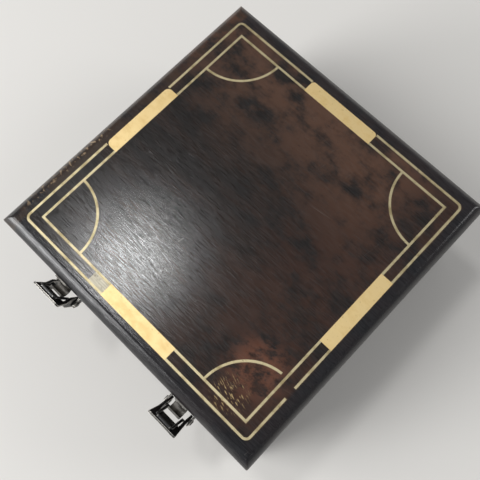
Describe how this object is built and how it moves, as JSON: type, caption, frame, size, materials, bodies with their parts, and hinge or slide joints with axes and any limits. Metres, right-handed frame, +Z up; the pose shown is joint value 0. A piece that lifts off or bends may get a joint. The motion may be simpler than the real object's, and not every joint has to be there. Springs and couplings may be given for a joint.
{
  "type": "sextant box",
  "caption": "Hinged hardwood instrument box with brass line inlay on the lid, felt lining, rear butt hinges and draw latches with wire bails on the front.",
  "frame": {"origin": "middle of the underside, on the surface that the box stands on", "axes": "+X to the right along the front, -Y out of the front with the latches, +Z up"},
  "size_m": [0.1426, 0.1601, 0.07],
  "materials": {
    "hardwood": "dark rosewood, satin polish",
    "patch_wood": "paler hardwood, satin polish",
    "inlay_brass": "rubbed flush, satin",
    "hinge_brass": "aged satin brass",
    "keeper_steel": "worn grey plating",
    "latch_steel": "black, bright where the edges are rubbed",
    "felt": "short-napped felt"
  },
  "bodies": {
    "case": {"case_base": "hardwood", "case_lining_front": "felt", "case_lining_left": "felt", "case_lining_rear": "felt", "case_lining_right": "felt", "case_wall_front": "hardwood", "case_wall_left": "hardwood", "case_wall_rear": "hardwood", "case_wall_right": "hardwood", "hinge_leaf_case_left": "hinge_brass", "hinge_leaf_case_right": "hinge_brass", "hinge_pin_left": "hinge_brass", "hinge_pin_right": "hinge_brass", "latch_plate_left": "latch_steel", "latch_plate_right": "latch_steel", "latch_rivets_left": "latch_steel", "latch_rivets_right": "latch_steel", "lining_floor": "felt"},
    "lid": {"hinge_leaf_lid_left": "hinge_brass", "hinge_leaf_lid_right": "hinge_brass", "inlay_arc_front_left": "inlay_brass", "inlay_arc_front_right": "inlay_brass", "inlay_arc_rear_left": "inlay_brass", "inlay_arc_rear_right": "inlay_brass", "inlay_line_inner": "inlay_brass", "inlay_line_outer": "inlay_brass", "inlay_patch": "patch_wood", "inlay_plate_front": "inlay_brass", "inlay_plate_left": "inlay_brass", "inlay_plate_rear": "inlay_brass", "inlay_plate_right": "inlay_brass", "keeper_left": "keeper_steel", "keeper_right": "keeper_steel", "lid_lining_front": "felt", "lid_lining_left": "felt", "lid_lining_rear": "felt", "lid_lining_right": "felt", "lid_top": "hardwood", "lid_wall_front": "hardwood", "lid_wall_left": "hardwood", "lid_wall_rear": "hardwood", "lid_wall_right": "hardwood", "lining_lid": "felt"},
    "latch_lever_left": {"latch_lever_left": "latch_steel"},
    "latch_bail_left": {"latch_bail_left": "latch_steel"},
    "latch_lever_right": {"latch_lever_right": "latch_steel"},
    "latch_bail_right": {"latch_bail_right": "latch_steel"}
  },
  "joints": [
    {"name": "lid_hinge", "type": "hinge", "parent": "case", "child": "lid", "pos_m": [0, 0.07455, 0.049], "axis": [-1, 0, 0], "range_deg": [0, 180]},
    {"name": "latch_lever_left_turn", "type": "hinge", "parent": "case", "child": "latch_lever_left", "pos_m": [-0.03565, -0.07605, 0.0464], "axis": [1, 0, 0], "range_deg": [0, 169]},
    {"name": "latch_bail_left_swing", "type": "hinge", "parent": "latch_lever_left", "child": "latch_bail_left", "pos_m": [-0.03565, -0.07664, 0.05146], "axis": [-1, 0, 0], "range_deg": [0, 25]},
    {"name": "latch_lever_right_turn", "type": "hinge", "parent": "case", "child": "latch_lever_right", "pos_m": [0.03565, -0.07605, 0.0464], "axis": [1, 0, 0], "range_deg": [0, 161]},
    {"name": "latch_bail_right_swing", "type": "hinge", "parent": "latch_lever_right", "child": "latch_bail_right", "pos_m": [0.03565, -0.07734, 0.05133], "axis": [-1, 0, 0], "range_deg": [0, 33]}
  ]
}
